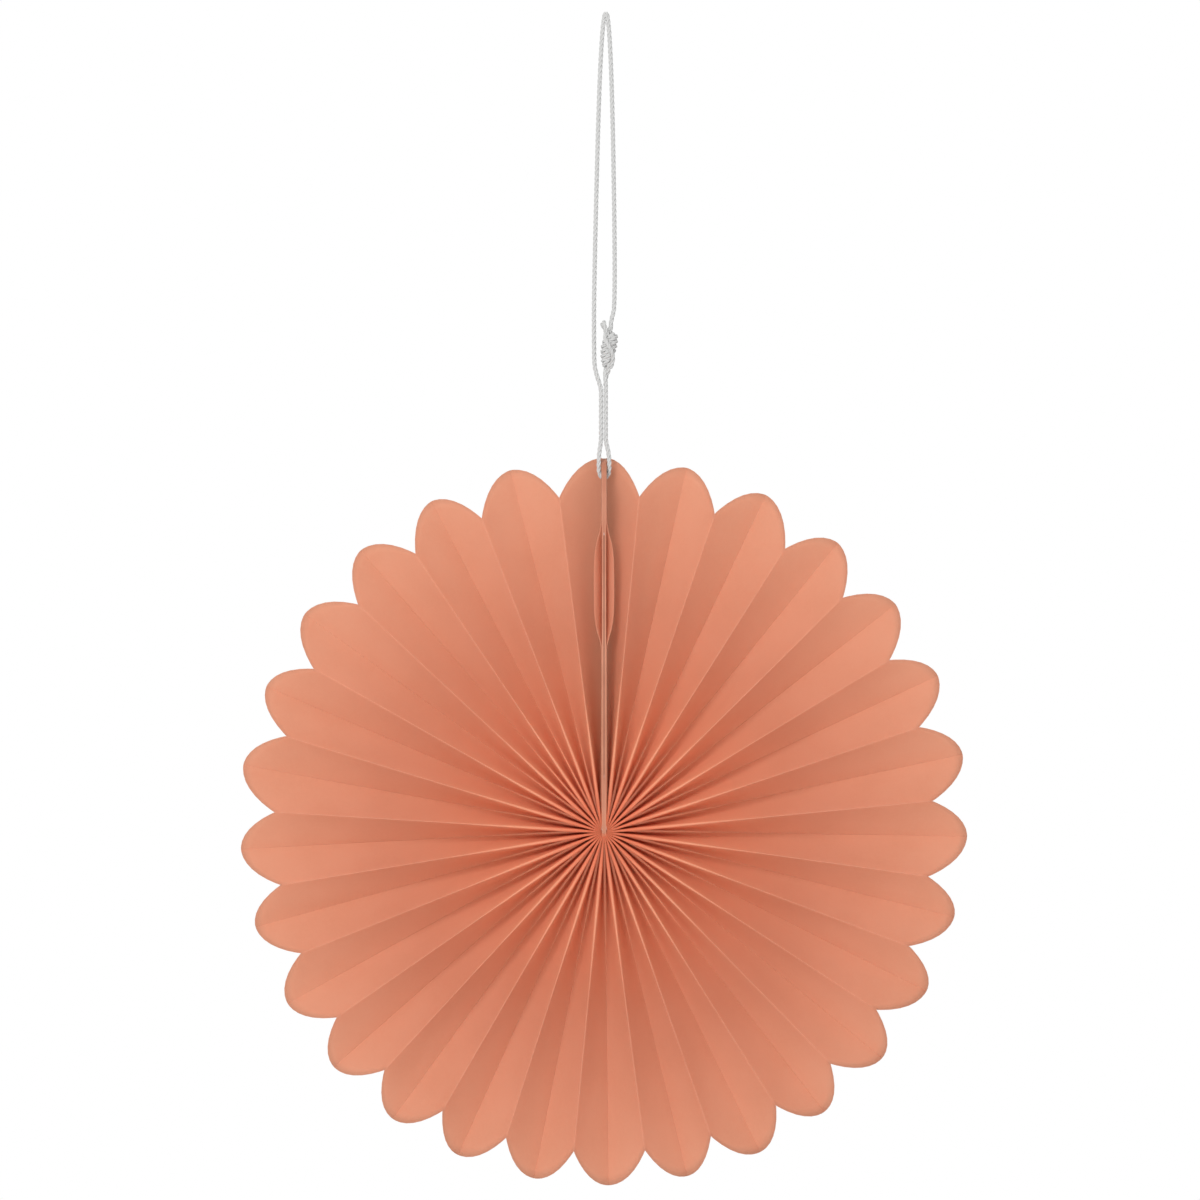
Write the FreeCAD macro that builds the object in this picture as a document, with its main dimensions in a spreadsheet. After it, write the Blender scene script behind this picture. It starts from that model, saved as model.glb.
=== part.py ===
import FreeCAD, Part
import math
import os

# Paper fan rosette: one pleated strip of paper opened into a full disc. Its two ends are stiffened by
# upright cards that are taped face to face at the top, and a string through the cards hangs it up.
# Millimetres. +Z is up, the front faces -Y, and the origin is at the middle of the disc.

doc = FreeCAD.newDocument("paper_fan_rosette")

# pleat_spare is how much wider a pleat is than the arc it spans at the rim, so that it never lies quite
# flat. core_slack is how much looser than solid the layers lie at the core, and core_drop how far the core
# sits below the middle of the disc. The folds crowd a little to one side by crowding_angle and all lean back
# by lean_angle. card_foot is how far the cards reach below the core, thread_inset how far out of the core
# the thread runs, and string_hole_depth how far below the top petal's tip the string passes.
SIZES = {
    "fan_radius": 76.2,
    "petal_depth": 7.7,
    "petal_count": 28,
    "pleat_spare": 1.45,
    "paper_thickness": 0.12,
    "core_slack": 1.25,
    "core_drop": 1.5,
    "crowding_angle": 3.15,
    "lean_angle": 0.85,
    "card_thickness": 0.4,
    "card_foot": 1.2,
    "tape_thickness": 0.1,
    "tape_width": 7.0,
    "tape_start": 10.0,
    "tape_length": 50.0,
    "thread_diameter": 0.3,
    "thread_clearance": 0.1,
    "thread_inset": 1.4,
    "string_diameter": 0.9,
    "string_hole_diameter": 3.0,
    "string_hole_depth": 4.9,
    "knot_diameter": 3.8,
    "knot_end_diameter": 1.1,
    "pleat_width": "=pi * fan_radius / petal_count + pleat_spare",
}


def fill_sheet():
    """The driving dimensions, one named cell each."""
    sheet = doc.addObject("Spreadsheet::Sheet", "sizes")
    for row, (name, value) in enumerate(SIZES.items(), start=1):
        sheet.set(f"A{row}", name)
        sheet.set(f"B{row}", str(value))
        sheet.setAlias(f"B{row}", name)
    doc.recompute()
    return sheet


sheet = fill_sheet()
fan_radius = sheet.get("fan_radius")
petal_depth = sheet.get("petal_depth")
petal_count = int(sheet.get("petal_count"))
pleat_width = sheet.get("pleat_width")
paper = sheet.get("paper_thickness")
core_drop = sheet.get("core_drop")
card = sheet.get("card_thickness")
tape = sheet.get("tape_thickness")

# Folds are numbered round from the top, clockwise seen from the front. Even folds are valleys at the back
# and end in a petal's tip, odd folds are ridges at the front and end in a notch between two petals.
panel_count = 2 * petal_count
notch_radius = fan_radius - petal_depth
card_face = tape / 2 + card
flap_middle = card_face + paper / 2
flap_face = card_face + paper

# The inner ends are pressed together, layer on layer, so the core is as wide as the layers need.
core_radius = (panel_count * paper * sheet.get("core_slack") + 2 * flap_face) / (2 * math.pi)
thread_ring_radius = core_radius + sheet.get("thread_inset")
thread_way_half = sheet.get("thread_diameter") / 2 + sheet.get("thread_clearance")
string_hole_z = fan_radius - sheet.get("string_hole_depth")
# The folded sheet is made a little too long, and the petals are cut from it.
uncut_radius = fan_radius + 2 * paper
# A panel is made of this many bands of facets, closer together near the core.
BAND_COUNT = 6
BAND_GROWTH = 1.5
# String and thread are round strands with this many flat sides.
STRAND_SIDES = 10
X_AXIS = FreeCAD.Vector(1, 0, 0)
Y_AXIS = FreeCAD.Vector(0, 1, 0)
Z_AXIS = FreeCAD.Vector(0, 0, 1)


def fold_angle(fold, radius):
    """Radians from the top, clockwise, at which a fold lies this far from the core."""
    seam = math.asin(flap_middle / radius)
    if fold <= 0:
        return seam
    if fold >= panel_count:
        return 2 * math.pi - seam
    share = fold / panel_count
    even = seam + (2 * math.pi - 2 * seam) * share
    crowded = math.radians(sheet.get("crowding_angle")) * math.sin(2 * math.pi * share)
    return even + crowded - math.radians(sheet.get("lean_angle"))


def fold_depth(fold, radius):
    """Y of a fold: the pleats flatten outwards, because a panel keeps its width."""
    if fold < 0 or fold > panel_count:
        return -pleat_width / 2
    if fold in (0, panel_count):
        return pleat_width / 2
    spread = (fold_angle(fold + 1, radius) - fold_angle(fold - 1, radius)) / 2
    chord = 2 * radius * math.sin(spread / 2)
    half = math.sqrt(max(pleat_width ** 2 - chord ** 2, 0)) / 2
    return half if fold % 2 == 0 else -half


def fold_point(fold, radius):
    """Point on the paper's middle surface where a fold passes this distance from the core."""
    angle = fold_angle(fold, radius)
    reach = (radius - core_radius) / (fan_radius - core_radius)
    centre_z = -core_drop * (1 - reach)
    x = radius * math.sin(angle)
    z = centre_z + radius * math.cos(angle)
    return FreeCAD.Vector(x, fold_depth(fold, radius), z)


def along_rim(fold, radius):
    """Unit vector round the disc at a fold, clockwise; at the two end flaps it is square to the cards."""
    if fold <= 0 or fold >= panel_count:
        return FreeCAD.Vector(1, 0, 0)
    angle = fold_angle(fold, radius)
    return FreeCAD.Vector(math.cos(angle), 0, -math.sin(angle))


def fold_section(fold, radius):
    """The three corners of the paper at a fold: its inner crease and the two ends of its blunt outer edge,
    the one of the panel before and the one of the panel after."""
    here = fold_point(fold, radius)
    side = along_rim(fold, radius)
    if fold < 0 or fold > panel_count:
        turn = 1 if fold < 0 else -1
        back = here - side * turn * paper / 2
        front = here + side * turn * paper / 2
        return back, front, front

    def heading(other):
        """Direction to the next fold, square to the radius."""
        gap = fold_point(other, radius) - here
        flat = side * gap.dot(side) + FreeCAD.Vector(0, gap.y, 0)
        return flat.normalize()

    before = heading(fold - 1)
    after = heading(fold + 1)
    inward = (before + after).normalize()
    half_angle = before.getAngle(after) / 2
    crease = here + inward * (paper / 2) / math.sin(half_angle)

    def foot(run):
        """Point half the paper's thickness off the panel, on the fold's outer side."""
        square = inward - run * inward.dot(run)
        return here - square.normalize() * paper / 2

    return crease, foot(before), foot(after)


def pleated_sheet():
    """The folded strip as a closed solid, panels, creases, edges and flaps, before the petals are cut.
    A panel twists from edge on at the core to slanted at the rim, through flat facets as paper does."""
    length = uncut_radius - core_radius
    stations = [core_radius + length * (step / BAND_COUNT) ** BAND_GROWTH for step in range(BAND_COUNT + 1)]
    folds = range(-1, panel_count + 2)
    sections = [[fold_section(fold, radius) for radius in stations] for fold in folds]
    crease, before, after = [
        [[section[corner] for section in fold] for fold in sections]
        for corner in range(3)
    ]
    faces = []

    def facet(*points):
        faces.append(Part.Face(Part.makePolygon([*points, points[0]])))

    def surface(near, far):
        """Facets of one side of a panel, each band split from the inner end of near to the outer of far."""
        for band in range(BAND_COUNT):
            facet(near[band], far[band], far[band + 1])
            facet(near[band], far[band + 1], near[band + 1])

    last = len(sections) - 1
    for fold in range(last):
        # The first entry is the free edge of a flap, so odd entries are valleys and even ones are ridges.
        if fold % 2 == 0:
            surface(crease[fold], before[fold + 1])
            surface(after[fold], crease[fold + 1])
        else:
            surface(before[fold + 1], crease[fold])
            surface(crease[fold + 1], after[fold])
        for end in (0, -1):
            facet(crease[fold][end], before[fold + 1][end], crease[fold + 1][end])
            facet(crease[fold][end], crease[fold + 1][end], after[fold][end])
    for fold in range(1, last):
        surface(before[fold], after[fold])
        for end in (0, -1):
            facet(crease[fold][end], before[fold][end], after[fold][end])
    for fold in (0, last):
        surface(crease[fold], after[fold])
    shell = Part.makeShell(faces)
    shell.sewShape()
    return Part.makeSolid(shell)


def petal_outline():
    """The scalloped rim seen from the front: one parabola from notch to notch for each petal."""
    notches = []
    for fold in range(1, panel_count + 2, 2):
        notch = fold_point((fold - 1) % panel_count + 1, notch_radius)
        notches.append(FreeCAD.Vector(notch.x, -pleat_width, notch.z))
    petals = []
    for start, end in zip(notches[:-1], notches[1:]):
        middle = (start + end) / 2
        outwards = FreeCAD.Vector(middle.x, 0, middle.z).normalize()
        tip = outwards * fan_radius - FreeCAD.Vector(0, pleat_width, 0)
        curve = Part.BezierCurve()
        curve.setPoles([start, tip * 2 - middle, end])
        petals.append(curve.toShape())
    return Part.Wire(petals)


def add_shape(name, shape):
    feature = doc.addObject("Part::Feature", name)
    feature.Shape = shape
    return feature


def add_bound(kind, name, **bindings):
    """A primitive or extrusion whose sizes come from the sheet."""
    feature = doc.addObject(kind, name)
    for size, expression in bindings.items():
        feature.setExpression(size, expression)
    return feature


def place(feature, x=0, y=0, z=0, axis=None, degrees=0):
    turn = FreeCAD.Rotation(axis, degrees) if axis else FreeCAD.Rotation()
    feature.Placement = FreeCAD.Placement(FreeCAD.Vector(x, y, z), turn)


def origin_plane(body, role):
    return next(plane for plane in body.Origin.OriginFeatures if plane.Role == role)


def add_sketch(body, name, role, offset=0):
    """An empty sketch on one of the body's own origin planes, raised by offset."""
    sketch = body.newObject("Sketcher::SketchObject", name)
    sketch.AttachmentSupport = [(origin_plane(body, role), "")]
    sketch.MapMode = "FlatFace"
    sketch.AttachmentOffset = FreeCAD.Placement(FreeCAD.Vector(0, 0, offset), FreeCAD.Rotation())
    return sketch


def petal_tip_arc():
    """Rounded outer end of a flap or card, seen from the side: level at the tip, down to the notch."""
    radius = (pleat_width ** 2 + petal_depth ** 2) / (2 * petal_depth)
    centre_z = fan_radius - radius
    turn = math.asin(pleat_width / radius) / 2
    middle_y = pleat_width / 2 - radius * math.sin(turn)
    middle_z = centre_z + radius * math.cos(turn)
    tip = FreeCAD.Vector(pleat_width / 2, fan_radius, 0)
    notch = FreeCAD.Vector(-pleat_width / 2, notch_radius, 0)
    return Part.Arc(tip, FreeCAD.Vector(middle_y, middle_z, 0), notch), tip, notch


def make_pleated_fan():
    """The folded sheet with its petals cut, the rounded flaps, and the holes for thread and string."""
    sheet_solid = add_shape("folded_strip", pleated_sheet())
    rim = add_shape("petal_rim", Part.Face(petal_outline()))
    cutter = add_bound("Part::Extrusion", "petal_cutter", LengthFwd="2 * sizes.pleat_width")
    cutter.Base = rim
    cutter.DirMode = "Custom"
    cutter.Dir = Y_AXIS
    cutter.Solid = True
    petals = doc.addObject("Part::Common", "cut_petals")
    petals.Base = sheet_solid
    petals.Tool = cutter

    way_height = "sizes.thread_diameter + 2 * sizes.thread_clearance"
    around = add_bound("Part::Cylinder", "thread_way_outside", Height=way_height)
    within = add_bound("Part::Cylinder", "thread_way_inside", Height=way_height)
    around.Radius = thread_ring_radius + thread_way_half
    within.Radius = thread_ring_radius - thread_way_half
    for ring in (around, within):
        place(ring, y=thread_way_half, z=-core_drop, axis=X_AXIS, degrees=90)
    thread_way = doc.addObject("Part::Cut", "thread_way")
    thread_way.Base = around
    thread_way.Tool = within

    arc, tip, notch = petal_tip_arc()
    above = FreeCAD.Vector(0, petal_depth, 0)
    corner_edges = [arc.toShape(), Part.makeLine(notch, notch + above * 2),
                    Part.makeLine(notch + above * 2, tip + above), Part.makeLine(tip + above, tip)]
    corner = add_shape("flap_corner", Part.Face(Part.Wire(corner_edges)))
    place(corner, axis=FreeCAD.Vector(1, 1, 1), degrees=120)
    corner_cutter = doc.addObject("Part::Extrusion", "flap_corner_cutter")
    corner_cutter.Base = corner
    corner_cutter.DirMode = "Custom"
    corner_cutter.Dir = X_AXIS
    corner_cutter.LengthFwd = 2 * flap_face
    corner_cutter.Symmetric = True
    corner_cutter.Solid = True

    string_way = add_bound("Part::Cylinder", "string_way", Radius="sizes.string_hole_diameter / 2")
    string_way.Height = 4 * flap_face
    place(string_way, x=-2 * flap_face, z=string_hole_z, axis=Y_AXIS, degrees=90)

    ways = doc.addObject("Part::MultiFuse", "ways_and_corners")
    ways.Shapes = [thread_way, corner_cutter, string_way]
    fan = doc.addObject("Part::Cut", "pleated_fan")
    fan.Base = petals
    fan.Tool = ways
    return fan


def make_end_card(name, side):
    """One stiff card, as tall as a pleat is long, with a rounded outer corner and its two holes."""
    body = doc.addObject("PartDesign::Body", name)
    sketch = add_sketch(body, name + "_outline", "YZ_Plane")
    arc, tip, notch = petal_tip_arc()
    foot_z = -core_drop - sheet.get("card_foot")
    back_foot = FreeCAD.Vector(pleat_width / 2, foot_z, 0)
    front_foot = FreeCAD.Vector(-pleat_width / 2, foot_z, 0)
    string_hole = FreeCAD.Vector(0, string_hole_z, 0)
    thread_hole = FreeCAD.Vector(0, thread_ring_radius - core_drop, 0)
    sketch.addGeometry([
        Part.LineSegment(back_foot, tip),
        arc,
        Part.LineSegment(notch, front_foot),
        Part.LineSegment(front_foot, back_foot),
        Part.Circle(string_hole, Z_AXIS, sheet.get("string_hole_diameter") / 2),
        Part.Circle(thread_hole, Z_AXIS, thread_way_half),
    ])
    pad = body.newObject("PartDesign::Pad", name + "_pad")
    pad.Profile = sketch
    pad.setExpression("Length", "sizes.card_thickness")
    body.Placement.Base = FreeCAD.Vector(tape / 2 if side > 0 else -tape / 2 - card, 0, 0)
    return body


def make_closing_tape():
    """Double-sided tape between the two cards."""
    strip = add_bound("Part::Box", "closing_tape", Length="sizes.tape_thickness",
                      Width="sizes.tape_width", Height="sizes.tape_length")
    place(strip, x=-tape / 2, y=-sheet.get("tape_width") / 2, z=sheet.get("tape_start"))
    return strip


def strand_outline(middle, radius):
    """Closed outline of a strand's section, flat-sided and level, around its middle."""
    corners = []
    for number in range(STRAND_SIDES + 1):
        turn = 2 * math.pi * number / STRAND_SIDES
        corners.append(middle + X_AXIS * radius * math.cos(turn) + Y_AXIS * radius * math.sin(turn))
    return corners


def make_centre_thread():
    """A ring of thread through the inner ends of all the pleats and both cards."""
    body = doc.addObject("PartDesign::Body", "centre_thread")
    sketch = add_sketch(body, "thread_section", "XY_Plane", offset=-core_drop)
    corners = strand_outline(FreeCAD.Vector(thread_ring_radius, 0, 0), sheet.get("thread_diameter") / 2)
    sketch.addGeometry([Part.LineSegment(start, end) for start, end in zip(corners[:-1], corners[1:])])
    ring = body.newObject("PartDesign::Revolution", "thread_ring")
    ring.Profile = sketch
    ring.ReferenceAxis = (sketch, ["V_Axis"])
    ring.Angle = 360
    return body


# The string's route in the plane Y = 0, as X and Z: from the foot of the knot down one side of the cards,
# through their hole, up the other side and past the knot, round the top of the loop and down to the knot.
STRING_ROUTE = [
    (1.4, 91.8),
    (1.4, 90.4),
    (0.55, 87.6),
    (0.55, 82.0),
    (1.2, 76.4),
    (1.2, 72.0),
    (-1.2, 72.0),
    (-1.2, 76.4),
    (-0.55, 82.0),
    (-0.55, 90.6),
    (-2.1, 96.2),
    (-2.1, 113.0),
    (-0.6, 169.1),
    (1.4, 169.1),
    (2.5, 108.4),
    (1.4, 104.7),
    (1.4, 103.3),
]
# Each bend takes this share of the shorter of its two runs.
BEND_SHARE = 0.45


def route_edges(route):
    """Straight runs joined by tangent arcs as large as the runs allow, and the arcs' radii."""
    points = [FreeCAD.Vector(x, z, 0) for x, z in route]
    edges = []
    radii = []
    start = points[0]
    for before, here, after in zip(points, points[1:], points[2:]):
        tangent = BEND_SHARE * min(here.distanceToPoint(before), here.distanceToPoint(after))
        back = (before - here).normalize()
        ahead = (after - here).normalize()
        half_corner = back.getAngle(ahead) / 2
        radius = tangent * math.tan(half_corner)
        middle = here + (back + ahead).normalize() * (radius / math.sin(half_corner) - radius)
        edges.append(Part.LineSegment(start, here + back * tangent))
        edges.append(Part.Arc(here + back * tangent, middle, here + ahead * tangent))
        radii.append(radius)
        start = here + ahead * tangent
    edges.append(Part.LineSegment(start, points[-1]))
    return edges, radii


def make_hanging_string():
    """The string as a plain tube, compared with its section times its length."""
    edges, radii = route_edges(STRING_ROUTE)
    route = Part.Wire([edge.toShape() for edge in edges])
    route.rotate(FreeCAD.Vector(), X_AXIS, 90)
    start_x, start_z = STRING_ROUTE[0]
    corners = strand_outline(FreeCAD.Vector(start_x, 0, start_z), sheet.get("string_diameter") / 2)
    section = Part.Face(Part.makePolygon(corners))
    string = add_shape("hanging_string", route.makePipe(section))
    print(f"string length {route.Length:.1f} mm, volume over section times length "
          f"{string.Shape.Volume / (section.Area * route.Length):.4f}")
    print("string bend radii in mm", [round(radius, 2) for radius in radii])
    return string


# Half the knot's outline from its foot up, as shares of its height and of its full swell.
KNOT_PROFILE = [(0.0, 0.0), (0.2, 0.55), (0.45, 1.0), (0.75, 0.85), (0.92, 0.35), (1.0, 0.0)]


def make_string_knot():
    """The overhand knot as one plain lump, flat where the string's two ends meet it."""
    body = doc.addObject("PartDesign::Body", "string_knot")
    sketch = add_sketch(body, "knot_profile", "XZ_Plane")
    _, foot_z = STRING_ROUTE[0]
    axis_x, head_z = STRING_ROUTE[-1]
    end_radius = sheet.get("knot_end_diameter") / 2
    swell = sheet.get("knot_diameter") / 2 - end_radius
    corners = [FreeCAD.Vector(0, foot_z, 0)]
    for height, share in KNOT_PROFILE:
        corners.append(FreeCAD.Vector(end_radius + swell * share, foot_z + (head_z - foot_z) * height, 0))
    corners.append(FreeCAD.Vector(0, head_z, 0))
    corners.append(corners[0])
    sketch.addGeometry([Part.LineSegment(start, end) for start, end in zip(corners[:-1], corners[1:])])
    lump = body.newObject("PartDesign::Revolution", "knot_lump")
    lump.Profile = sketch
    lump.ReferenceAxis = (sketch, ["V_Axis"])
    lump.Angle = 360
    body.Placement.Base = FreeCAD.Vector(axis_x, 0, 0)
    return body


fan = make_pleated_fan()
cards = [make_end_card("end_card_right", 1), make_end_card("end_card_left", -1)]
nodes = [fan, *cards, make_closing_tape(), make_centre_thread(), make_hanging_string(), make_string_knot()]
doc.recompute()

for item in doc.Objects:
    if "Invalid" in item.State or "Error" in item.State:
        raise RuntimeError(f"{item.Name} failed to build: {item.State}")
for node in nodes:
    if node.Shape.isNull() or not node.Shape.isValid():
        raise RuntimeError(f"{node.Name} has no sound solid")

strip_area = panel_count * pleat_width * (fan_radius - core_radius)
print(f"core radius {core_radius:.2f} mm, paper volume over flat area times thickness "
      f"{fan.Shape.Volume / (strip_area * paper):.3f}")

os.makedirs("parts", exist_ok=True)
for node in nodes:
    node.Shape.exportStep(f"parts/{node.Label}.step")
    print(node.Label, "solids", len(node.Shape.Solids), "faces", len(node.Shape.Faces),
          "volume", round(node.Shape.Volume, 2))
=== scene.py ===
import math
import random

import bmesh
import bpy
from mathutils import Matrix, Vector, noise


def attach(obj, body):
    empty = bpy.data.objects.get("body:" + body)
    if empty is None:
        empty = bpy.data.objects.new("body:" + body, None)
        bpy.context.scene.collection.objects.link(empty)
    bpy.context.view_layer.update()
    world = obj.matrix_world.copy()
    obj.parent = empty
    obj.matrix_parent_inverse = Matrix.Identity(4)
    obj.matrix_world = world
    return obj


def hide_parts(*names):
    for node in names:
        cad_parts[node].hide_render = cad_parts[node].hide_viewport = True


# Paper fan rosette: one long strip of coral paper, pleated and opened round into a scalloped disc, with two
# stiff end cards at the top and a loop of white string. Metres, +Z up, and the front faces -Y.

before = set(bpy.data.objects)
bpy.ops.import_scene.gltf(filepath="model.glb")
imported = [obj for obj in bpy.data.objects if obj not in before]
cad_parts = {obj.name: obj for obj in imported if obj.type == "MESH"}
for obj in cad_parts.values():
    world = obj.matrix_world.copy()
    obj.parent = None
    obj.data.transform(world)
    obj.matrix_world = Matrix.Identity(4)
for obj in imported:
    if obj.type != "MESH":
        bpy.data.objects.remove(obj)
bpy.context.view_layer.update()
bpy.ops.object.select_all(action="DESELECT")
chance = random.Random(28)

# The strip of paper. Before the pleats are pressed, they leave an open core of CORE_RADIUS, which lies
# CORE_DROP below the disc's middle. The two end flaps stand FLAP_MIDDLE to the right and left of the seam.
# The folds crowd a little to one side and lean back a little.
FAN_RADIUS = 0.0762
PETAL_DEPTH = 0.0077
PETAL_COUNT = 28
PANEL_COUNT = 2 * PETAL_COUNT
PLEAT_SPARE = 0.00145
PLEAT_WIDTH = math.pi * FAN_RADIUS / PETAL_COUNT + PLEAT_SPARE
CORE_RADIUS = 0.00152
CORE_DROP = 0.0015
FLAP_MIDDLE = 0.00051
CROWDING = math.radians(3.15)
LEAN = math.radians(0.85)
NOTCH_RADIUS = FAN_RADIUS - PETAL_DEPTH
FLAP_CURVE = (PLEAT_WIDTH ** 2 + PETAL_DEPTH ** 2) / (2 * PETAL_DEPTH)
STRING_HOLE_HEIGHT = 0.0713
STRING_HOLE_RADIUS = 0.0015
# The pressed inner ends close up nearly to the middle, where the layers squeeze thinner.
PRESSED_RADIUS = 0.00053
PAPER_THICKNESS = 0.00012
# Round the core the layers are stuck together, and the glue swells them until they touch. Past the swollen
# part's reach they are thin again, over the length of its fade.
SWOLLEN_THICKNESS = 0.00025
SWOLLEN_REACH = 0.0034
SWOLLEN_FADE = 0.0010

# The width seen at the disc, and the point in its plane at the middle of the view.
SEEN_WIDTH = 0.2506
SEEN_MIDDLE = (-0.00084, 0.0465)
CAMERA_DISTANCE = 1.1
SENSOR_WIDTH = 36


def view_along_the_front():
    """The camera straight in front, far enough away to see the disc almost flat."""
    bpy.ops.object.camera_add(location=(SEEN_MIDDLE[0], -CAMERA_DISTANCE, SEEN_MIDDLE[1]),
                              rotation=(math.pi / 2, 0, 0))
    camera = bpy.context.object
    camera.name = "front_camera"
    camera.data.sensor_width = SENSOR_WIDTH
    camera.data.lens = SENSOR_WIDTH * CAMERA_DISTANCE / SEEN_WIDTH
    camera.data.clip_start = 0.01
    bpy.context.scene.camera = camera


view_along_the_front()

# The string, in the plane Y = 0: from the foot of the knot down one side of the cards, through their hole,
# up the other side and past the knot, round the top of the loop and down to the head of the knot.
STRING_DIAMETER = 0.0009
STRING_ROUTE = [
    (0.00036, 0.0920),
    (0.00036, 0.0904),
    (0.00036, 0.0810),
    (0.00036, 0.0796),
    (0.0011, 0.0768),
    (0.0011, 0.0720),
    (-0.0011, 0.0720),
    (-0.0011, 0.0768),
    (-0.00062, 0.0796),
    (-0.00062, 0.0810),
    (-0.00062, 0.0890),
    (-0.00062, 0.0908),
    (-0.0019, 0.0945),
    (-0.0021, 0.0975),
    (-0.0021, 0.1130),
    (-0.0006, 0.1691),
    (0.0014, 0.1691),
    (0.0025, 0.1084),
    (0.0014, 0.1047),
    (0.0014, 0.1033),
]


def smooth_line(route, steps=24):
    """The points of one smooth line that the route's points pull into shape."""
    curve = bpy.data.curves.new("smooth_line", "CURVE")
    curve.dimensions = "3D"
    curve.resolution_u = steps
    spline = curve.splines.new("NURBS")
    spline.points.add(len(route) - 1)
    for point, place in zip(spline.points, route):
        point.co = (*place, 1)
    spline.order_u = 3
    spline.use_endpoint_u = True
    holder = bpy.data.objects.new("smooth_line", curve)
    line = bpy.data.meshes.new_from_object(holder)
    points = [vertex.co.copy() for vertex in line.vertices]
    bpy.data.meshes.remove(line)
    bpy.data.objects.remove(holder)
    bpy.data.curves.remove(curve)
    return points


def evenly_spaced(points, spacing):
    """Points along the same line, one step apart, from end to end."""
    lengths = [0.0]
    for here, there in zip(points, points[1:]):
        lengths.append(lengths[-1] + (there - here).length)
    count = max(2, round(lengths[-1] / spacing))
    spaced = []
    run = 0
    for number in range(count + 1):
        wanted = lengths[-1] * number / count
        while run < len(points) - 2 and lengths[run + 1] < wanted:
            run += 1
        share = (wanted - lengths[run]) / max(lengths[run + 1] - lengths[run], 1e-12)
        spaced.append(points[run].lerp(points[run + 1], min(share, 1)))
    return spaced


# Three plies laid round each other. Their own thickness and their distance from the middle are shares of
# the string's radius, and a cut end is a share of its ply's thickness.
PLY_COUNT = 3
PLY_THICKNESS = 0.58
PLY_OFFSET = 0.5
CUT_END = 0.55
LAY_LENGTH = 0.0034
POINTS_PER_LAY = 11
PLY_SIDES = 8


def twist_string(shape, points, radius, start_turn=0.0, thin_end=False):
    """Adds a twisted string along the points, with a UV along and round each ply."""
    uv = shape.loops.layers.uv.verify()
    across = None
    frames = []
    along = 0.0
    for number, point in enumerate(points):
        before = points[max(number - 1, 0)]
        after = points[min(number + 1, len(points) - 1)]
        heading = (after - before).normalized()
        if across is None:
            across = heading.orthogonal().normalized()
        across = (across - heading * across.dot(heading)).normalized()
        along += (point - before).length
        frames.append((point, across.copy(), heading.cross(across), heading, along))
    for ply in range(PLY_COUNT):
        rings = []
        for number, (point, side, up, heading, along) in enumerate(frames):
            turn = start_turn + 2 * math.pi * (along / LAY_LENGTH + ply / PLY_COUNT)
            outward = side * math.cos(turn) + up * math.sin(turn)
            centre = point + outward * radius * PLY_OFFSET
            thickness = radius * PLY_THICKNESS
            if thin_end and number == len(frames) - 1:
                thickness *= CUT_END
            tangent = outward.cross(heading)
            ring = []
            for step in range(PLY_SIDES):
                angle = 2 * math.pi * step / PLY_SIDES
                ring.append(shape.verts.new(
                    centre + (outward * math.cos(angle) + tangent * math.sin(angle)) * thickness))
            rings.append((ring, along))
        for (near, near_along), (far, far_along) in zip(rings, rings[1:]):
            for step in range(PLY_SIDES):
                after = (step + 1) % PLY_SIDES
                face = shape.faces.new((near[step], near[after], far[after], far[step]))
                face.smooth = True
                marks = ((step, near_along), (step + 1, near_along), (step + 1, far_along), (step, far_along))
                for loop, (turned, distance) in zip(face.loops, marks):
                    loop[uv].uv = (turned / PLY_SIDES, distance / LAY_LENGTH)
        shape.faces.new(rings[0][0])
        shape.faces.new(rings[-1][0])


def finish_piece(shape, name):
    """Turns the worked shape into an object with its faces pointing outwards."""
    bmesh.ops.recalc_face_normals(shape, faces=shape.faces)
    mesh = bpy.data.meshes.new(name)
    shape.to_mesh(mesh)
    shape.free()
    piece = bpy.data.objects.new(name, mesh)
    bpy.context.collection.objects.link(piece)
    return piece


def make_hanging_loop():
    """The string itself, twisted along its whole route."""
    line = smooth_line([(x, 0, z) for x, z in STRING_ROUTE])
    points = evenly_spaced(line, LAY_LENGTH / POINTS_PER_LAY)
    shape = bmesh.new()
    twist_string(shape, points, STRING_DIAMETER / 2)
    return finish_piece(shape, "twisted_string"), points


# The knot, made round an upright line through the string's two ends. Slanting turns of string are pulled
# tight round the ends, each given by its height and its distance from the middle.
KNOT_MIDDLE = 0.0014
KNOT_TURNS = [
    (0.0960, 0.00065),
    (0.0968, 0.00095),
    (0.0977, 0.00120),
    (0.0987, 0.00138),
    (0.0997, 0.00145),
    (0.1007, 0.00138),
    (0.1016, 0.00110),
]
TURN_SLANT = 0.0009
POINTS_PER_TURN = 8
POINTS_PER_KNOT_LAY = 10
POINTS_PER_BEND = 12
# Pulled tight, the string is thinner, and its tails are thinner still. Both are shares of its diameter.
TIGHT_RADIUS = 0.49
TAIL_RADIUS = 0.46
# Then the whole knot leans: its head stays at this height, and its foot comes nearer the cards' middle.
KNOT_HEAD = 0.1033
KNOT_LEAN = 0.09
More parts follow.
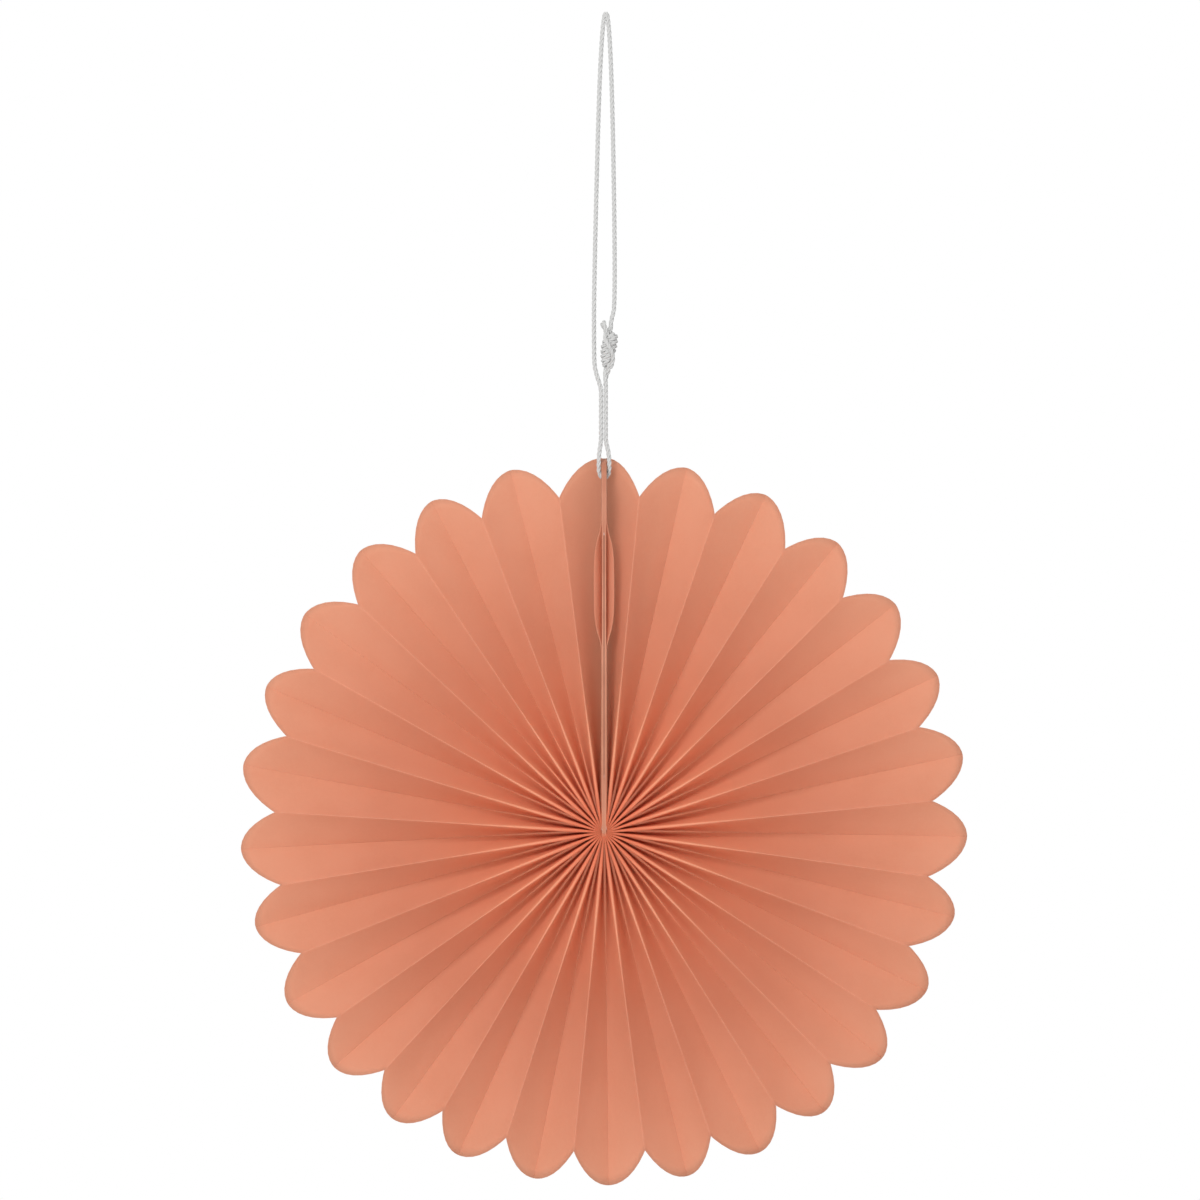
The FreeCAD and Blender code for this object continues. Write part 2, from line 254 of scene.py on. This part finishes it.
# One strand locks the turns across the front, two run down inside to the cards, and the cut ends of the
# string stand up at the left.
LOCKING_STRAND = [(0.0021, -0.0004, 0.0950), (0.0027, -0.0013, 0.0968), (0.0017, -0.0022, 0.0990),
                  (0.0004, -0.0019, 0.1008), (0.0004, -0.0006, 0.1026), (0.0013, 0.0, 0.1030)]
INNER_STRANDS = [
    [(0.0014, 0.0, 0.0914), (0.0012, -0.0003, 0.0930), (0.0010, 0.0003, 0.0945), (0.0015, 0.0004, 0.0960),
     (0.0014, 0.0, 0.1000), (0.0014, 0.0, 0.1040)],
    [(0.0013, 0.0003, 0.0924), (0.0013, 0.0006, 0.0934), (0.0018, 0.0, 0.0944), (0.0016, -0.0005, 0.0958),
     (0.0014, -0.0003, 0.0975), (0.0012, 0.0, 0.1000)],
]
TAILS = [
    [(0.0012, -0.0004, 0.1005), (0.0007, -0.0009, 0.1024), (0.0001, -0.0011, 0.1036),
     (-0.0002, -0.0009, 0.1048)],
    [(0.0010, 0.0004, 0.1008), (0.0004, 0.0003, 0.1028), (-0.0003, 0.0, 0.1038),
     (-0.0007, 0.0002, 0.1043)],
]


def lean_to_the_cards(route):
    """The same line with the knot's foot pulled over towards the cards' middle."""
    return [(x - KNOT_LEAN * (KNOT_HEAD - z), y, z) for x, y, z in route]


def make_knot():
    """The turns of string pulled tight, the strands inside and across them, and the two cut ends."""
    shape = bmesh.new()
    spacing = LAY_LENGTH / POINTS_PER_KNOT_LAY
    winding = []
    for (low, low_radius), (high, high_radius) in zip(KNOT_TURNS, KNOT_TURNS[1:]):
        for step in range(POINTS_PER_TURN):
            share = step / POINTS_PER_TURN
            angle = 2 * math.pi * share
            radius = low_radius + (high_radius - low_radius) * share
            height = low + (high - low) * share + TURN_SLANT * math.cos(angle)
            winding.append((KNOT_MIDDLE + radius * math.cos(angle), radius * math.sin(angle), height))
    for route in [winding, LOCKING_STRAND, *INNER_STRANDS]:
        points = evenly_spaced(smooth_line(lean_to_the_cards(route), POINTS_PER_BEND), spacing)
        twist_string(shape, points, STRING_DIAMETER * TIGHT_RADIUS)
    for number, route in enumerate(TAILS):
        points = evenly_spaced(smooth_line(lean_to_the_cards(route), POINTS_PER_BEND), spacing)
        twist_string(shape, points, STRING_DIAMETER * TAIL_RADIUS, start_turn=number, thin_end=True)
    return finish_piece(shape, "tied_knot")


string_piece, string_points = make_hanging_loop()
knot_piece = make_knot()


def fold_angle(fold, radius):
    """Radians from the top, clockwise, at which a fold lies this far from the core."""
    seam = math.asin(FLAP_MIDDLE / radius)
    if fold <= 0:
        return seam
    if fold >= PANEL_COUNT:
        return 2 * math.pi - seam
    share = fold / PANEL_COUNT
    return seam + (2 * math.pi - 2 * seam) * share + CROWDING * math.sin(2 * math.pi * share) - LEAN


def fold_depth(fold, radius):
    """Y of a fold: the pleats flatten outwards, because a panel keeps its width."""
    if fold < 0 or fold > PANEL_COUNT:
        return -PLEAT_WIDTH / 2
    if fold in (0, PANEL_COUNT):
        return PLEAT_WIDTH / 2
    spread = (fold_angle(fold + 1, radius) - fold_angle(fold - 1, radius)) / 2
    chord = 2 * radius * math.sin(spread / 2)
    half = math.sqrt(max(PLEAT_WIDTH ** 2 - chord ** 2, 0)) / 2
    return half if fold % 2 == 0 else -half


# Folding by hand leaves each fold a little off its place, and each petal a little off its length.
FOLD_ERROR = math.radians(0.28)
PETAL_ERROR = 0.00025
fold_errors = [chance.uniform(-FOLD_ERROR, FOLD_ERROR) for _ in range(PANEL_COUNT + 1)]
petal_errors = [chance.uniform(-PETAL_ERROR, PETAL_ERROR) for _ in range(PANEL_COUNT + 1)]


def fold_point(fold, radius):
    """Where a fold passes this distance from the core, with the hand folder's small error."""
    angle = fold_angle(fold, radius)
    if 0 < fold < PANEL_COUNT:
        angle += fold_errors[fold] * min(radius / NOTCH_RADIUS, 1)
    reach = (radius - CORE_RADIUS) / (FAN_RADIUS - CORE_RADIUS)
    height = -CORE_DROP * (1 - reach) + radius * math.cos(angle)
    return Vector((radius * math.sin(angle), fold_depth(fold, radius), height))


# Places across a panel, from one fold to the next, closer together beside the folds, and the number of
# steps from the core to the rim, which grow longer outwards.
ACROSS = [0, 0.006, 0.018, 0.035, 0.08, 0.2, 0.35, 0.5, 0.65, 0.8, 0.92, 0.965, 0.982, 0.994, 1]
ROWS = 44
ROW_GROWTH = 1.25
# The panels are crinkled in long waves with a short flutter on them. The scales are for the number of the
# fold, the place across the panel and the distance from the core.
CRINKLE = 0.00010
WAVE_HEIGHT = 3
WAVE_SCALE = (7.3, 1.5, 60)
FLUTTER_SCALE = (3.1, 2.5, 240)
# A fold is a soft bend where the pleats are packed side by side, and a crease where they lie open.
BEND_RADIUS = 0.0004
OPEN_PLEAT = 0.0035
# Halfway up, the free front edges of the two end flaps roll outwards, away from the cards.
CURL_WIDTH = 0.0028
CURL_ANGLE = math.radians(75)
CURL_HEIGHT = 0.0495
CURL_LENGTH = 0.013


def rim_radius(fold, share):
    """How far out a panel is cut at this share of the way to its next fold."""
    if fold < 0 or fold >= PANEL_COUNT:
        from_tip = (1 - share if fold < 0 else share) * PLEAT_WIDTH
        return FAN_RADIUS - FLAP_CURVE + math.sqrt(FLAP_CURVE ** 2 - from_tip ** 2)
    tip = fold if fold % 2 == 0 else fold + 1
    from_tip = share if fold % 2 == 0 else 1 - share
    return FAN_RADIUS + petal_errors[tip % PANEL_COUNT] - PETAL_DEPTH * from_tip ** 2


def bent_share(share, run):
    """How far sideways a point lies between two folds that are this far apart, with its soft bends."""
    bend = min(run / 2, BEND_RADIUS)
    from_fold = min(share, 1 - share) * PLEAT_WIDTH
    if from_fold < bend:
        aside = math.sqrt(2 * bend * from_fold - from_fold ** 2)
    else:
        aside = bend + (run / 2 - bend) * (from_fold - bend) / (PLEAT_WIDTH / 2 - bend)
    bent = aside / run if share < 0.5 else 1 - aside / run
    return share + (bent - share) * max(0, 1 - run / OPEN_PLEAT)


def panel_point(fold, share, radius):
    """A point of the panel between this fold and the next, with the paper's slight crinkle."""
    near, far = fold_point(fold, radius), fold_point(fold + 1, radius)
    point = near.lerp(far, share)
    if 0 <= fold < PANEL_COUNT:
        run = math.hypot(far.x - near.x, far.z - near.z)
        level = near.lerp(far, bent_share(share, run))
        point = Vector((level.x, point.y, level.z))
    if fold < 0 or fold >= PANEL_COUNT:
        side = 1 if fold < 0 else -1
        to_front = (1 - share if fold < 0 else share) * PLEAT_WIDTH
        rolled = to_front - (PLEAT_WIDTH - CURL_WIDTH)
        off_middle = abs(point.z - CURL_HEIGHT) / CURL_LENGTH
        if off_middle < 1 and rolled > 0:
            bend = CURL_WIDTH / (CURL_ANGLE * (1 - off_middle ** 4) ** 2)
            point.x += side * bend * (1 - math.cos(rolled / bend))
            point.y += rolled - bend * math.sin(rolled / bend)
        return point
    freedom = math.sin(math.pi * share) * min(radius / NOTCH_RADIUS, 1)
    place = (fold, share, radius)
    wave = noise.noise(Vector([part * scale for part, scale in zip(place, WAVE_SCALE)]))
    flutter = noise.noise(Vector([part * scale for part, scale in zip(place, FLUTTER_SCALE)]))
    point.y += CRINKLE * freedom * (WAVE_HEIGHT * wave + flutter)
    return point


def make_pleated_paper():
    """The strip folded, opened round and cut into petals, from one free edge to the other."""
    shape = bmesh.new()
    uv = shape.loops.layers.uv.new("strip")
    columns = []
    for fold in range(-1, PANEL_COUNT + 1):
        shares = ACROSS if fold == -1 else ACROSS[1:]
        for share in shares:
            rim = rim_radius(fold, share)
            column = []
            for row in range(ROWS + 1):
                radius = PRESSED_RADIUS + (rim - PRESSED_RADIUS) * (row / ROWS) ** ROW_GROWTH
                vertex = shape.verts.new(panel_point(fold, share, radius))
                column.append((vertex, fold + 1 + share, radius / FAN_RADIUS))
            columns.append(column)
    for left, right in zip(columns, columns[1:]):
        for row in range(ROWS):
            corners = (left[row], right[row], right[row + 1], left[row + 1])
            face = shape.faces.new([corner[0] for corner in corners])
            face.smooth = True
            for loop, (_, strip_place, reach) in zip(face.loops, corners):
                loop[uv].uv = (strip_place, reach)
    mesh = bpy.data.meshes.new("pleated_paper")
    shape.to_mesh(mesh)
    shape.free()
    paper = bpy.data.objects.new("pleated_paper", mesh)
    bpy.context.collection.objects.link(paper)
    pressed = paper.vertex_groups.new(name="full_thickness")
    for vertex in mesh.vertices:
        reach = max(math.hypot(vertex.co.x, vertex.co.z + CORE_DROP), PRESSED_RADIUS)
        room = reach * (fold_angle(PANEL_COUNT, reach) - fold_angle(0, reach)) / PANEL_COUNT
        swelling = max(0, min(1, (SWOLLEN_REACH - reach) / SWOLLEN_FADE))
        thickness = PAPER_THICKNESS + (SWOLLEN_THICKNESS - PAPER_THICKNESS) * swelling
        pressed.add([vertex.index], min(room, thickness) / SWOLLEN_THICKNESS, "REPLACE")
    return paper


def apply_modifiers(piece):
    """Works every modifier of a piece into its mesh, from first to last."""
    bpy.ops.object.select_all(action="DESELECT")
    piece.select_set(True)
    bpy.context.view_layer.objects.active = piece
    for modifier in list(piece.modifiers):
        bpy.ops.object.modifier_apply(modifier=modifier.name)
    piece.select_set(False)


def thicken_paper(paper):
    """The paper's own thickness, half to each side, and fuller where the glue has swollen it."""
    thickness = paper.modifiers.new("paper_thickness", "SOLIDIFY")
    thickness.thickness = SWOLLEN_THICKNESS
    thickness.offset = 0
    thickness.vertex_group = "full_thickness"
    apply_modifiers(paper)


PUNCH_LENGTH = 0.002
PUNCH_SIDES = 32


def punch_string_hole(paper):
    """The round hole through both end flaps, in line with the one in the cards."""
    bpy.ops.mesh.primitive_cylinder_add(vertices=PUNCH_SIDES, radius=STRING_HOLE_RADIUS, depth=PUNCH_LENGTH,
                                        location=(0, 0, STRING_HOLE_HEIGHT), rotation=(0, math.pi / 2, 0))
    punch = bpy.context.object
    hole = paper.modifiers.new("string_hole", "BOOLEAN")
    hole.operation = "DIFFERENCE"
    hole.object = punch
    hole.solver = "EXACT"
    apply_modifiers(paper)
    bpy.data.objects.remove(punch)


# The tape keeps the end cards a little apart, and beyond its two ends their inner faces meet. Each card is
# cut across at some levels so that it can follow, and what lies nearer the seam than CARD_INNER_HALF is its
# inner face.
CARD_GAP = 0.000049
CARD_INNER_HALF = 0.00025
TAPE_FOOT = 0.010
TAPE_HEAD = 0.060
MEETING_LENGTH = 0.0008
CARD_LEVELS = [0.002, 0.006, 0.0092, 0.010, 0.013, 0.030, 0.050, 0.057, 0.060, 0.0608, 0.067, 0.0700,
               0.0735]
CARD_EDGE_ROUND = 0.00006
SAME_PLACE = 0.000001
SAME_FACE = math.radians(2)
SHARP_EDGE = math.radians(60)


def make_end_card(node, name, side):
    """One stiff card, with edges softened by cutting, which meets its twin at the foot and the head."""
    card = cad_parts[node].copy()
    card.data = card.data.copy()
    card.name = name
    bpy.context.collection.objects.link(card)
    bpy.ops.object.select_all(action="DESELECT")
    card.hide_set(False)
    card.select_set(True)
    bpy.context.view_layer.objects.active = card
    bpy.ops.object.mode_set(mode="EDIT")
    bpy.ops.mesh.select_all(action="SELECT")
    bpy.ops.mesh.remove_doubles(threshold=SAME_PLACE)
    bpy.ops.mesh.dissolve_limited(angle_limit=SAME_FACE)
    for level in CARD_LEVELS:
        bpy.ops.mesh.select_all(action="SELECT")
        bpy.ops.mesh.bisect(plane_co=(0, 0, level), plane_no=(0, 0, 1))
    bpy.ops.object.mode_set(mode="OBJECT")
    for vertex in card.data.vertices:
        beyond = max(TAPE_FOOT - vertex.co.z, vertex.co.z - TAPE_HEAD, 0)
        if abs(vertex.co.x) < CARD_INNER_HALF:
            vertex.co.x -= side * CARD_GAP * min(beyond / MEETING_LENGTH, 1)
    rounding = card.modifiers.new("cut_edges", "BEVEL")
    rounding.width = CARD_EDGE_ROUND
    rounding.segments = 2
    rounding.limit_method = "ANGLE"
    rounding.angle_limit = SHARP_EDGE
    apply_modifiers(card)
    card.data.shade_smooth()
    return card


card_pieces = [make_end_card("end_card_right", "right_end_card", 1),
               make_end_card("end_card_left", "left_end_card", -1)]
paper_piece = make_pleated_paper()
thicken_paper(paper_piece)
punch_string_hole(paper_piece)


def new_effect(name, inputs, outputs):
    """An empty node group, with the numbers it takes and the results it gives."""
    effect = bpy.data.node_groups.new(name, "ShaderNodeTree")
    for label, value in inputs.items():
        socket = effect.interface.new_socket(label, in_out="INPUT", socket_type="NodeSocketFloat")
        socket.default_value = value
    for label in outputs:
        effect.interface.new_socket(label, in_out="OUTPUT", socket_type="NodeSocketFloat")
    return effect, effect.nodes.new("NodeGroupInput"), effect.nodes.new("NodeGroupOutput")


def make_fibre_effect():
    """Paper fibres: a cloudy mottle of the pulp, and short fibres that raise the surface."""
    effect, taken, given = new_effect("paper_fibre", {"Cloud Scale": 90, "Fibre Scale": 900},
                                      ["Cloud", "Fibre", "Height"])
    nodes, links = effect.nodes, effect.links
    place = nodes.new("ShaderNodeTexCoord")
    cloud = nodes.new("ShaderNodeTexNoise")
    cloud.inputs["Detail"].default_value = 4
    cloud.inputs["Roughness"].default_value = 0.55
    fibre = nodes.new("ShaderNodeTexNoise")
    fibre.inputs["Detail"].default_value = 6
    fibre.inputs["Roughness"].default_value = 0.7
    fibre.inputs["Distortion"].default_value = 1.2
    height = nodes.new("ShaderNodeMath")
    height.operation = "MULTIPLY_ADD"
    height.inputs[1].default_value = 0.35
    links.new(place.outputs["Object"], cloud.inputs["Vector"])
    links.new(place.outputs["Object"], fibre.inputs["Vector"])
    links.new(taken.outputs["Cloud Scale"], cloud.inputs["Scale"])
    links.new(taken.outputs["Fibre Scale"], fibre.inputs["Scale"])
    links.new(cloud.outputs["Fac"], height.inputs[0])
    links.new(fibre.outputs["Fac"], height.inputs[2])
    links.new(cloud.outputs["Fac"], given.inputs["Cloud"])
    links.new(fibre.outputs["Fac"], given.inputs["Fibre"])
    links.new(height.outputs["Value"], given.inputs["Height"])
    return effect


paper_fibre = make_fibre_effect()


def new_material(name, roughness):
    """A new material, with its nodes, its links and its surface."""
    material = bpy.data.materials.new(name)
    material.use_nodes = True
    nodes = material.node_tree.nodes
    surface = nodes["Principled BSDF"]
    surface.inputs["Roughness"].default_value = roughness
    return material, nodes, material.node_tree.links, surface


def mix_colours(nodes, links, amount, first, second):
    """A colour between the two, by an amount that changes over the surface."""
    mix = nodes.new("ShaderNodeMix")
    mix.data_type = "RGBA"
    mix.clamp_factor = True
    links.new(amount, mix.inputs["Factor"])
    for socket, colour in ((mix.inputs["A"], first), (mix.inputs["B"], second)):
        if isinstance(colour, tuple):
            socket.default_value = (*colour, 1)
        else:
            links.new(colour, socket)
    return mix.outputs["Result"]


def spread(nodes, links, value, low, high, to_low=0.0, to_high=1.0):
    """The value stretched from one range to another."""
    stretch = nodes.new("ShaderNodeMapRange")
    stretch.interpolation_type = "SMOOTHSTEP"
    stretch.inputs["From Min"].default_value = low
    stretch.inputs["From Max"].default_value = high
    stretch.inputs["To Min"].default_value = to_low
    stretch.inputs["To Max"].default_value = to_high
    links.new(value, stretch.inputs["Value"])
    return stretch.outputs["Result"]


def raise_surface(nodes, links, surface, height, strength, distance):
    """Lets a height that changes over the surface tilt the way the surface catches the light."""
    bump = nodes.new("ShaderNodeBump")
    bump.inputs["Strength"].default_value = strength
    bump.inputs["Distance"].default_value = distance
    links.new(height, bump.inputs["Height"])
    links.new(bump.outputs["Normal"], surface.inputs["Normal"])


# The paper's dye where the pulp is thick and where it is thin, and its longest fibres. Painted light: a paler
# colour in the pleats towards the core, which lightens their shade. Painted shade: a redder, darker colour
# round the core. Painted highlight: a paler colour along every fold.
THICK_DYE = (0.695, 0.32, 0.205)
THIN_DYE = (0.74, 0.36, 0.24)
PALE_FIBRE = (0.76, 0.405, 0.28)
PAINTED_PLEAT_LIGHT = (0.98, 0.51, 0.31)
PAINTED_CORE_SHADE = (0.88, 0.235, 0.115)
PAINTED_FOLD_HIGHLIGHT = (0.86, 0.43, 0.31)
FOLD_HIGHLIGHT_SHARE = 0.14
# How far out the painted light in the pleats and the painted shade round the core reach, as shares of
# the disc's radius.
PAINTED_LIGHT_REACH = (0.05, 0.64)
CORE_SHADE_REACH = (0.02, 0.24)
# The light that the thin paper lets through, and its share of all that the paper sends on.
LIGHT_THROUGH = (0.97, 0.68, 0.54, 1)
SHARE_THROUGH = 0.55


def make_coral_paper():
    """Thin dyed paper: cloudy pulp and fine fibres, painted light in the pleats towards the core, painted
    shade round the core, and painted highlights along the folds.
    """
    material, nodes, links, surface = new_material("coral_paper", 0.82)
    surface.inputs["Specular IOR Level"].default_value = 0.25
    fibre = nodes.new("ShaderNodeGroup")
    fibre.node_tree = paper_fibre
    fibre.inputs["Cloud Scale"].default_value = 70
    fibre.inputs["Fibre Scale"].default_value = 1100
    strip = nodes.new("ShaderNodeUVMap")
    strip.uv_map = "strip"
    places = nodes.new("ShaderNodeSeparateXYZ")
    links.new(strip.outputs["UV"], places.inputs["Vector"])
    from_fold = nodes.new("ShaderNodeMath")
    from_fold.operation = "PINGPONG"
    from_fold.inputs[1].default_value = 0.5
    links.new(places.outputs["X"], from_fold.inputs[0])
    # Painted highlight: every fold is painted paler, as if it caught the light.
    fold_highlight_mask = spread(nodes, links, from_fold.outputs["Value"], 0.0, 0.05, 1.0, 0.0)
    # Painted light: the pleats towards the core are painted paler, which lightens their shade.
    painted_light_mask = spread(nodes, links, places.outputs["Y"], *PAINTED_LIGHT_REACH, 1.0, 0.0)
    # Painted shade: the paper round the core is painted redder and darker.
    core_shade_mask = spread(nodes, links, places.outputs["Y"], *CORE_SHADE_REACH, 1.0, 0.0)
    clouds = spread(nodes, links, fibre.outputs["Cloud"], 0.3, 0.7)
    specks = spread(nodes, links, fibre.outputs["Fibre"], 0.35, 0.65, 0.0, 0.5)
    dye = mix_colours(nodes, links, clouds, THICK_DYE, THIN_DYE)
    fibres = mix_colours(nodes, links, specks, dye, PALE_FIBRE)
    # The painted light mixed in towards the core.
    with_painted_light = mix_colours(nodes, links, painted_light_mask, fibres, PAINTED_PLEAT_LIGHT)
    # The painted highlight along the folds, at a small share.
    fold_highlight_amount = nodes.new("ShaderNodeMath")
    fold_highlight_amount.operation = "MULTIPLY"
    fold_highlight_amount.inputs[1].default_value = FOLD_HIGHLIGHT_SHARE
    links.new(fold_highlight_mask, fold_highlight_amount.inputs[0])
    with_fold_highlight = mix_colours(nodes, links, fold_highlight_amount.outputs["Value"], with_painted_light, PAINTED_FOLD_HIGHLIGHT)
    # The painted shade round the core mixed in last.
    with_core_shade = mix_colours(nodes, links, core_shade_mask, with_fold_highlight, PAINTED_CORE_SHADE)
    links.new(with_core_shade, surface.inputs["Base Color"])
    raise_surface(nodes, links, surface, fibre.outputs["Height"], 0.35, 0.00012)
    through = nodes.new("ShaderNodeBsdfTranslucent")
    through.inputs["Color"].default_value = LIGHT_THROUGH
    both = nodes.new("ShaderNodeMixShader")
    both.inputs["Fac"].default_value = SHARE_THROUGH
    links.new(surface.outputs["BSDF"], both.inputs[1])
    links.new(through.outputs["BSDF"], both.inputs[2])
    links.new(both.outputs["Shader"], nodes["Material Output"].inputs["Surface"])
    return material


DARK_CARD = (0.52, 0.195, 0.115)
PALE_CARD = (0.59, 0.245, 0.15)


def make_coral_card():
    """Stiff card in the paper's colour, denser and smoother."""
    material, nodes, links, surface = new_material("coral_card", 0.7)
    fibre = nodes.new("ShaderNodeGroup")
    fibre.node_tree = paper_fibre
    fibre.inputs["Cloud Scale"].default_value = 140
    fibre.inputs["Fibre Scale"].default_value = 1600
    clouds = spread(nodes, links, fibre.outputs["Cloud"], 0.35, 0.65)
    colour = mix_colours(nodes, links, clouds, DARK_CARD, PALE_CARD)
    links.new(colour, surface.inputs["Base Color"])
    raise_surface(nodes, links, surface, fibre.outputs["Height"], 0.25, 0.00008)
    return material


DARK_TAPE = (0.62, 0.50, 0.36)
PALE_TAPE = (0.72, 0.62, 0.48)


def make_clear_tape():
    """Yellowish clear tape with a slightly rippled face."""
    material, nodes, links, surface = new_material("clear_tape", 0.3)
    place = nodes.new("ShaderNodeTexCoord")
    ripple = nodes.new("ShaderNodeTexNoise")
    ripple.inputs["Scale"].default_value = 260
    links.new(place.outputs["Object"], ripple.inputs["Vector"])
    colour = mix_colours(nodes, links, ripple.outputs["Fac"], DARK_TAPE, PALE_TAPE)
    links.new(colour, surface.inputs["Base Color"])
    raise_surface(nodes, links, surface, ripple.outputs["Fac"], 0.2, 0.00005)
    return material


def make_spun_fibre(name, dark, light, roughness, scale):
    """Spun cotton: a nap of fine hairs, darker where it is thin, that softens the light at its edges."""
    material, nodes, links, surface = new_material(name, roughness)
    surface.inputs["Sheen Weight"].default_value = 0.3
    place = nodes.new("ShaderNodeTexCoord")
    hairs = nodes.new("ShaderNodeTexNoise")
    hairs.inputs["Scale"].default_value = scale
    hairs.inputs["Detail"].default_value = 5
    links.new(place.outputs["Object"], hairs.inputs["Vector"])
    tone = spread(nodes, links, hairs.outputs["Fac"], 0.3, 0.7)
    links.new(mix_colours(nodes, links, tone, dark, light), surface.inputs["Base Color"])
    raise_surface(nodes, links, surface, hairs.outputs["Fac"], 0.4, 0.00008)
    return material


coral_paper = make_coral_paper()
coral_card = make_coral_card()
clear_tape = make_clear_tape()
sewing_thread = make_spun_fibre("sewing_thread", (0.66, 0.24, 0.14), (0.80, 0.38, 0.26), 0.7, 4000)
white_string = make_spun_fibre("white_string", (0.53, 0.53, 0.525), (0.67, 0.67, 0.66), 0.85, 5200)

paper_piece.data.materials.append(coral_paper)
string_piece.data.materials.append(white_string)
knot_piece.data.materials.append(white_string)
for card in card_pieces:
    card.data.materials.clear()
    card.data.materials.append(coral_card)
for node, material in (("closing_tape", clear_tape), ("centre_thread", sewing_thread)):
    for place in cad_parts[node].material_slots:
        place.material = material

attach(paper_piece, "root")
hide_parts("pleated_fan")
for card, node in zip(card_pieces, ("end_card_right", "end_card_left")):
    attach(card, "root")
    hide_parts(node)
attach(string_piece, "root")
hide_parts("hanging_string")
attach(knot_piece, "root")
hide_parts("string_knot")


FLOOR_RADIUS = 0.8
FLOOR_HEIGHT = -0.24


def lay_floor():
    """A wide round white floor, below the hanging disc."""
    bpy.ops.mesh.primitive_circle_add(vertices=96, radius=FLOOR_RADIUS, fill_type="NGON",
                                      location=(0, 0, FLOOR_HEIGHT))
    floor = bpy.context.object
    floor.name = "studio_floor"
    material, nodes, links, surface = new_material("white_floor", 0.9)
    place = nodes.new("ShaderNodeTexCoord")
    grain = nodes.new("ShaderNodeTexNoise")
    grain.inputs["Scale"].default_value = 30
    links.new(place.outputs["Object"], grain.inputs["Vector"])
    colour = mix_colours(nodes, links, grain.outputs["Fac"], (0.90, 0.90, 0.90), (0.93, 0.93, 0.93))
    links.new(colour, surface.inputs["Base Color"])
    floor.data.materials.append(material)


def hang_soft_lamp(name, place, size, power):
    """A square soft lamp that faces the disc."""
    bpy.ops.object.light_add(type="AREA", location=place)
    lamp = bpy.context.object
    lamp.name = name
    lamp.data.size = size
    lamp.data.energy = power
    lamp.rotation_euler = (-Vector(place)).to_track_quat("-Z", "Y").to_euler()


# How strong the light from all round is, beside the plain white that is seen.
AMBIENT = 0.5


def light_the_room():
    """Even white light from all round, and plain white where the camera looks past the object."""
    world = bpy.context.scene.world or bpy.data.worlds.new("white_room")
    bpy.context.scene.world = world
    world.use_nodes = True
    nodes, links = world.node_tree.nodes, world.node_tree.links
    nodes.clear()
    rays = nodes.new("ShaderNodeLightPath")
    seen = nodes.new("ShaderNodeMath")
    seen.operation = "MAXIMUM"
    seen_too = nodes.new("ShaderNodeMath")
    seen_too.operation = "MAXIMUM"
    room = nodes.new("ShaderNodeBackground")
    room.inputs["Strength"].default_value = AMBIENT
    white = nodes.new("ShaderNodeBackground")
    white.inputs["Color"].default_value = (1, 1, 1, 1)
    room.inputs["Color"].default_value = (1, 1, 1, 1)
    choice = nodes.new("ShaderNodeMixShader")
    output = nodes.new("ShaderNodeOutputWorld")
    links.new(rays.outputs["Is Camera Ray"], seen.inputs[0])
    links.new(rays.outputs["Is Glossy Ray"], seen.inputs[1])
    links.new(seen.outputs["Value"], seen_too.inputs[0])
    links.new(rays.outputs["Is Transmission Ray"], seen_too.inputs[1])
    links.new(seen_too.outputs["Value"], choice.inputs["Fac"])
    links.new(room.outputs["Background"], choice.inputs[1])
    links.new(white.outputs["Background"], choice.inputs[2])
    links.new(choice.outputs["Shader"], output.inputs["Surface"])


lay_floor()
light_the_room()
hang_soft_lamp("upper_left_lamp", (-0.42, -1.3, 0.6), 0.5, 12.9)
hang_soft_lamp("right_fill_lamp", (0.9, -1.1, 0.2), 0.8, 1)
bpy.context.scene.view_settings.view_transform = "Standard"
